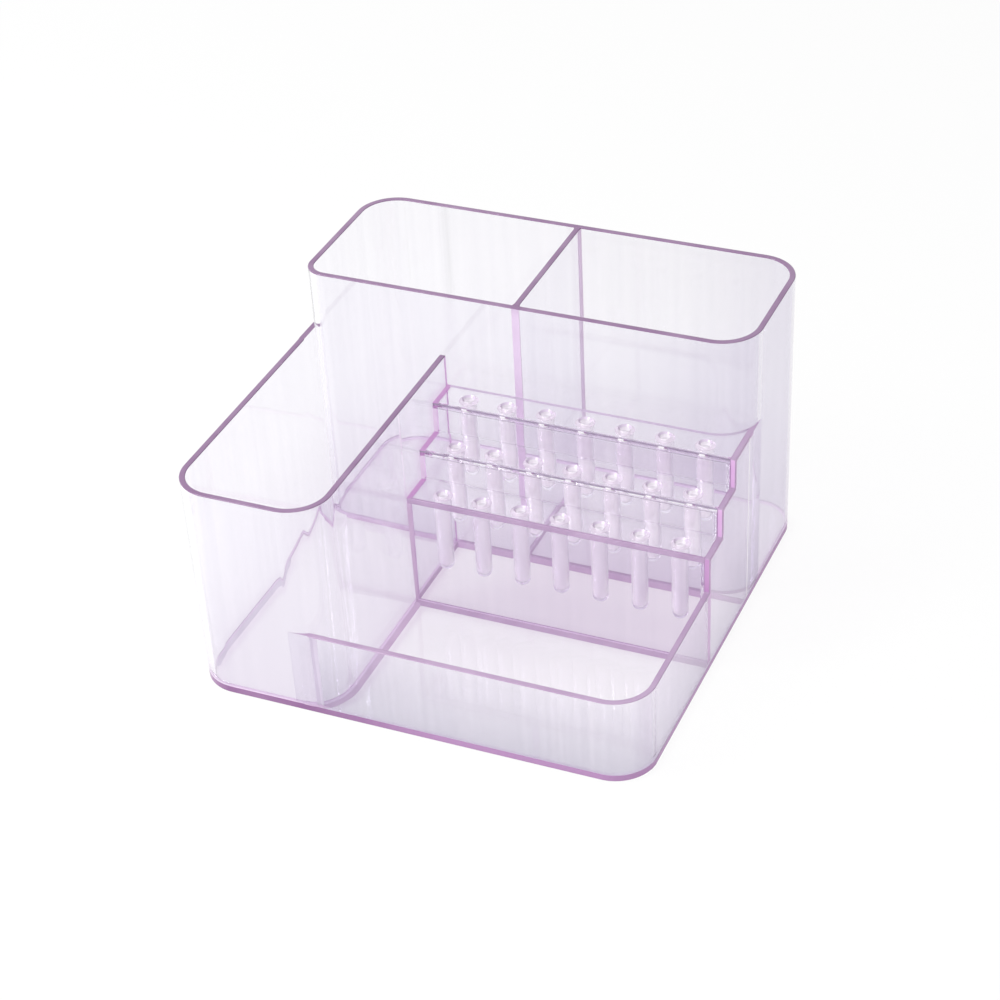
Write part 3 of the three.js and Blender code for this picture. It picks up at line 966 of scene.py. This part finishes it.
def tread(p, row):
    """Plate with seven bores. The lowest tread's front edge glows like a rim. The others' are
    clear below and shaded above, with a painted highlight where each bore's sleeve shows through
    the edge, and a painted dark dot of shade to its right."""
    bores = np.array([sleeve_centre(row, column)[0] for column in range(COLUMNS)])
    corners, faces, sides = tread_skin(p, row, bores)
    middle = centres(corners, faces)
    strip = (rack_sides(p)[0] + p.strip) * share(p, TREAD_TOPS[row])
    ends = (sides <= RIGHT) | (middle[:, 0] < strip) & (sides != REAR)
    low_front, high_front = (CLEAR, SHADED) if row else (RIM, RIM)
    slots = np.select(
        [sides == FRONT, sides == UPPER_FRONT, ends, sides == BORE_WALL, sides == CONE],
        [low_front, high_front, FOOT, MILKY_HIGHLIGHT, LINE], CLEAR,
    )
    if row:
        # Painted highlight (milky) on the upper front edge just right of each bore, and painted
        # shade (the rim's dark colour) 2 to 3 mm right of it
        right_by = middle[:, :1] - bores[:, 0]
        painted_gleam, dot = (
            ((right_by > low) & (right_by < high)).any(1) & (sides == UPPER_FRONT)
            for low, high in ((0, 2 * MM), (2 * MM, 3 * MM))
        )
        slots = np.select([painted_gleam, dot], [MILKY_HIGHLIGHT, RIM], slots)
    plain = sides <= RIGHT
    if row == ROWS - 1:
        slots[sides == REAR] = LINE
        plain |= sides == REAR
    soft = np.linalg.norm(corners[:, None, :2] - bores, axis=2).min(1) < 0.6 * p.mouth
    soft[faces[plain]] = True
    return sheet(
        p, f"rack_tread_{row + 1}", f"tread_{row + 1}", corners, faces, slots, soft,
        SHADED if row else RIM, 0.6, "clear_pale_acrylic",
        "rim_edge_acrylic" if row else "soft_rim_acrylic",
    )


def bit_sleeve(p, row, column):
    """Blind tube, turned about its axis from a half section: the tip is a quarter round, the wall
    tapers by half the draft, the root flares under the tread, and the bore has a round end."""
    centre, mouth, tip = sleeve_centre(row, column)
    mouth -= p.gap
    outer, bore, root = p.sleeve / 2, p.bore / 2, 0.5 * MM
    low, inside, end = 0.955 * outer, 0.96 * bore, tip + p.sleeve_tip
    quarter = np.linspace(0, math.pi / 2, 9)

    def round_end(radius, z):
        """Quarter round from the axis at height z out to the radius."""
        return np.stack([radius * np.sin(quarter), z + radius * (1 - np.cos(quarter))], 1)

    flare = np.stack([
        outer + root * (1 - np.cos(quarter)), mouth - root + root * np.sin(quarter)
    ], 1)[::2]
    skin = round_end(low, tip)[1:]
    section = np.concatenate([skin, flare, [[bore, mouth]], round_end(inside, end)[:0:-1]])
    around = 48
    turn = np.arange(around) / around * 2 * math.pi
    rings = np.empty((len(section), around, 3))
    rings[..., 0] = centre[0] + section[:, :1] * np.cos(turn)
    rings[..., 1] = centre[1] + section[:, :1] * np.sin(turn)
    rings[..., 2] = section[:, 1:]
    quads = turned(grid_faces(len(section), around, closed=True)).reshape(-1, 4)
    here, pole = np.arange(around), len(section) * around
    after = np.roll(here, -1)
    last = pole - around
    fans = np.concatenate([
        np.stack([np.full(around, pole), after, here], 1),
        np.stack([np.full(around, pole + 1), last + here, last + after], 1),
    ])
    points = np.concatenate([rings.reshape(-1, 3), [[*centre, tip], [*centre, end]]])
    band = np.arange(len(section) - 1) - len(skin)
    band_slots = np.select([band < 0, band < len(flare)], [0, 1], 2)
    slots = np.repeat([*band_slots, 0, 2], around)
    looks = chosen(p, "clear_sleeve_acrylic", "hazy_root_acrylic", "hazy_sleeve_acrylic")
    return make_piece(
        f"bit_tube_{row + 1}_{column + 1}", f"bit_sleeve_{row + 1}_{column + 1}",
        points, [quads, fans], slots, looks,
    )


# Stage

WHITE = linear("#FFFFFF")
MIDDLE_HEIGHT = 40 * MM
BOUNCES = 36  # a line of sight crosses many skins, and one that is cut short turns black


def whitened(nodes, shader_white, shader_plain, seen, through):
    """Mixes in the white: by one amount where the camera sees it straight, and by another where
    it is mirrored by the plastic or seen through it."""
    rays = add(nodes, "LightPath").outputs
    larger, times = {"operation": "MAXIMUM"}, {"operation": "MULTIPLY"}
    bent = add(nodes, "Math", larger, {0: rays["Is Glossy Ray"], 1: rays["Is Transmission Ray"]})
    bent_share = add(nodes, "Math", {**times, 1: through}, {0: bent})
    seen_share = add(nodes, "Math", {**times, 1: seen}, {0: rays["Is Camera Ray"]})
    amount = add(nodes, "Math", larger, {0: bent_share, 1: seen_share})
    return add(nodes, "MixShader", links={0: amount, 1: shader_plain, 2: shader_white})


def studio_floor():
    """Flat disc just under the organiser: a fan inside a ring that runs from radius 0.5 to 2
    metres, its points at the radius times (cos turn, sin turn). It is matt white paper, which
    scatters the light evenly."""
    sides, below = 64, 0.1 * MM
    turn = np.arange(sides) / sides * 2 * math.pi
    rings = np.stack(np.broadcast_arrays(
        np.array([[0.5], [2.0]]) * np.cos(turn), np.array([[0.5], [2.0]]) * np.sin(turn), -below
    ), -1)
    here = np.arange(sides)
    fan = np.stack([np.full(sides, 2 * sides), here, np.roll(here, -1)], 1)
    points = np.concatenate([rings.reshape(-1, 3), [[0, 0, -below]]])
    finish, nodes = new_finish("matt_white_paper")
    paper = add(nodes, "BsdfDiffuse", {"Color": linear("#F7F7F7")})
    white = add(nodes, "Emission", {"Color": WHITE, "Strength": 1.0})
    mixed = whitened(nodes, white, paper, seen=0.85, through=0.2)
    add(nodes, "OutputMaterial", links={"Surface": mixed})
    quads = grid_faces(2, sides, closed=True)[0]
    floor = new_object("studio_floor", points, [quads, fan], [finish])


def studio_world():
    """White all round as the camera and the plastic see it, and a soft grey as a light."""
    world = bpy.data.worlds.new("studio_white")
    bpy.context.scene.world = world
    world.use_nodes = True
    nodes = world.node_tree.nodes
    nodes.clear()
    white = add(nodes, "Background", {"Color": WHITE, "Strength": 1.0})
    soft = add(nodes, "Background", {"Color": WHITE, "Strength": 0.6})
    mixed = whitened(nodes, white, soft, seen=1.0, through=1.0)
    add(nodes, "OutputWorld", links={"Surface": mixed})


def studio_lamp(name, place, size, power):
    """Square soft box that faces the middle of the organiser."""
    lamp = bpy.data.lights.new(name, "AREA")
    lamp.size, lamp.energy = size, power
    holder = bpy.data.objects.new(name, lamp)
    holder.location = place
    aim = Vector((0, 0, MIDDLE_HEIGHT)) - Vector(place)
    holder.rotation_euler = aim.to_track_quat("-Z", "Y").to_euler()
    bpy.context.scene.collection.objects.link(holder)


def studio_camera(studio):
    """Camera on a line from its target: back is (sin a cos e, -cos a cos e, sin e) for azimuth a
    and elevation e, and the roll turns its right and up about that line. The target is a little
    left of and below the middle, which is 1.1 mm behind the origin."""
    a, e, r = studio.azimuth, studio.elevation, studio.roll
    back = Vector((math.sin(a) * math.cos(e), -math.cos(a) * math.cos(e), math.sin(e)))
    right = Vector((math.cos(a), math.sin(a), 0))
    up = back.cross(right)
    x_axis = math.cos(r) * right + math.sin(r) * up
    y_axis = -math.sin(r) * right + math.cos(r) * up
    middle, to_left, below = Vector((0, 1.134 * MM, MIDDLE_HEIGHT)), 1.0824 * MM, 0.981 * MM
    target = middle - to_left * right - below * up
    camera = bpy.data.cameras.new("studio_camera")
    camera.lens, camera.sensor_width = studio.lens, 36.0
    camera.clip_start, camera.clip_end = 0.01, 20.0
    holder = bpy.data.objects.new("studio_camera", camera)
    turn = Matrix((x_axis, y_axis, back)).transposed().to_4x4()
    holder.matrix_world = Matrix.Translation(target + studio.distance * back) @ turn
    bpy.context.scene.collection.objects.link(holder)
    bpy.context.scene.camera = holder


# Operators and panel


class BuildPiece:
    """What the operators of the pieces share: each calls its makers in turn."""

    bl_options = {"REGISTER", "UNDO"}

    def execute(self, context):
        p = plan(context.scene.organiser_sizes, context.scene.organiser_finish)
        for maker in self.makers:
            piece = maker(p)
            if not piece.data.polygons:
                raise RuntimeError(f"{piece.name} has no faces")
        return {"FINISHED"}


class ORGANISER_OT_base(BuildPiece, bpy.types.Operator):
    """Build the base plate with its window under the rack"""

    bl_idname = "organiser.base"
    bl_label = "Base plate"
    makers = (base_plate,)


class ORGANISER_OT_rear_bin(BuildPiece, bpy.types.Operator):
    """Build the tall rear bin's hoop and its divider"""

    bl_idname = "organiser.rear_bin"
    bl_label = "Rear bin"
    makers = (rear_bin_wall, rear_bin_divider)


class ORGANISER_OT_left_bin(BuildPiece, bpy.types.Operator):
    """Build the strip round the left bin"""

    bl_idname = "organiser.left_bin"
    bl_label = "Left bin"
    makers = (left_bin_wall,)


class ORGANISER_OT_tray(BuildPiece, bpy.types.Operator):
    """Build the tray's strip with its stepped top"""

    bl_idname = "organiser.tray"
    bl_label = "Tray"
    makers = (tray_wall,)


class ORGANISER_OT_rack(BuildPiece, bpy.types.Operator):
    """Build the rack's front panel, risers and bored treads"""

    bl_idname = "organiser.rack"
    bl_label = "Rack"
    makers = (
        rack_panel,
        *(partial(riser, row=row) for row in range(1, ROWS)),
        *(partial(tread, row=row) for row in range(ROWS)),
    )


class ORGANISER_OT_sleeves(BuildPiece, bpy.types.Operator):
    """Build the blind sleeves that hold the bits"""

    bl_idname = "organiser.sleeves"
    bl_label = "Bit sleeves"
    makers = [partial(bit_sleeve, row=r, column=c) for r in range(ROWS) for c in range(COLUMNS)]


class ORGANISER_OT_studio(bpy.types.Operator):
    """Set up the floor, the light and the camera"""

    bl_idname = "organiser.studio"
    bl_label = "Studio"

    def execute(self, context):
        scene = context.scene
        scene.view_settings.view_transform = "Standard"
        for kind in ("max", "transmission", "glossy", "transparent_max"):
            setattr(scene.cycles, f"{kind}_bounces", BOUNCES)
        studio_floor()
        studio_world()
        power = scene.organiser_studio.lamp
        studio_lamp("key_lamp", (-0.75, -0.55, 0.95), 0.5, power)
        studio_lamp("fill_lamp", (0.6, -0.9, 0.9), 0.9, 0.3 * power)
        studio_camera(scene.organiser_studio)
        return {"FINISHED"}


STEPS = (
    ORGANISER_OT_base, ORGANISER_OT_rear_bin, ORGANISER_OT_left_bin, ORGANISER_OT_tray,
    ORGANISER_OT_rack, ORGANISER_OT_sleeves, ORGANISER_OT_studio,
)


class ORGANISER_PT_panel(bpy.types.Panel):
    """Lists the building steps and the settings"""

    bl_idname = "ORGANISER_PT_panel"
    bl_label = "Nail Drill Bit Organiser"
    bl_space_type = "VIEW_3D"
    bl_region_type = "UI"
    bl_category = "Organiser"

    def draw(self, context):
        for step in STEPS:
            self.layout.operator(step.bl_idname)
        for group in ("organiser_sizes", "organiser_finish", "organiser_studio"):
            settings = getattr(context.scene, group)
            for name in settings.__annotations__:
                self.layout.prop(settings, name)


GROUPS = {
    "organiser_sizes": OrganiserSizes,
    "organiser_finish": OrganiserFinish,
    "organiser_studio": OrganiserStudio,
}


def register():
    for name, group in GROUPS.items():
        bpy.utils.register_class(group)
        setattr(bpy.types.Scene, name, PointerProperty(type=group))
    for step in (*STEPS, ORGANISER_PT_panel):
        bpy.utils.register_class(step)


def unregister():
    for step in (ORGANISER_PT_panel, *reversed(STEPS)):
        bpy.utils.unregister_class(step)
    for name, group in GROUPS.items():
        delattr(bpy.types.Scene, name)
        bpy.utils.unregister_class(group)


def main():
    register()
    for step in STEPS:
        group, name = step.bl_idname.split(".")
        getattr(getattr(bpy.ops, group), name)()


if __name__ == "__main__":
    main()
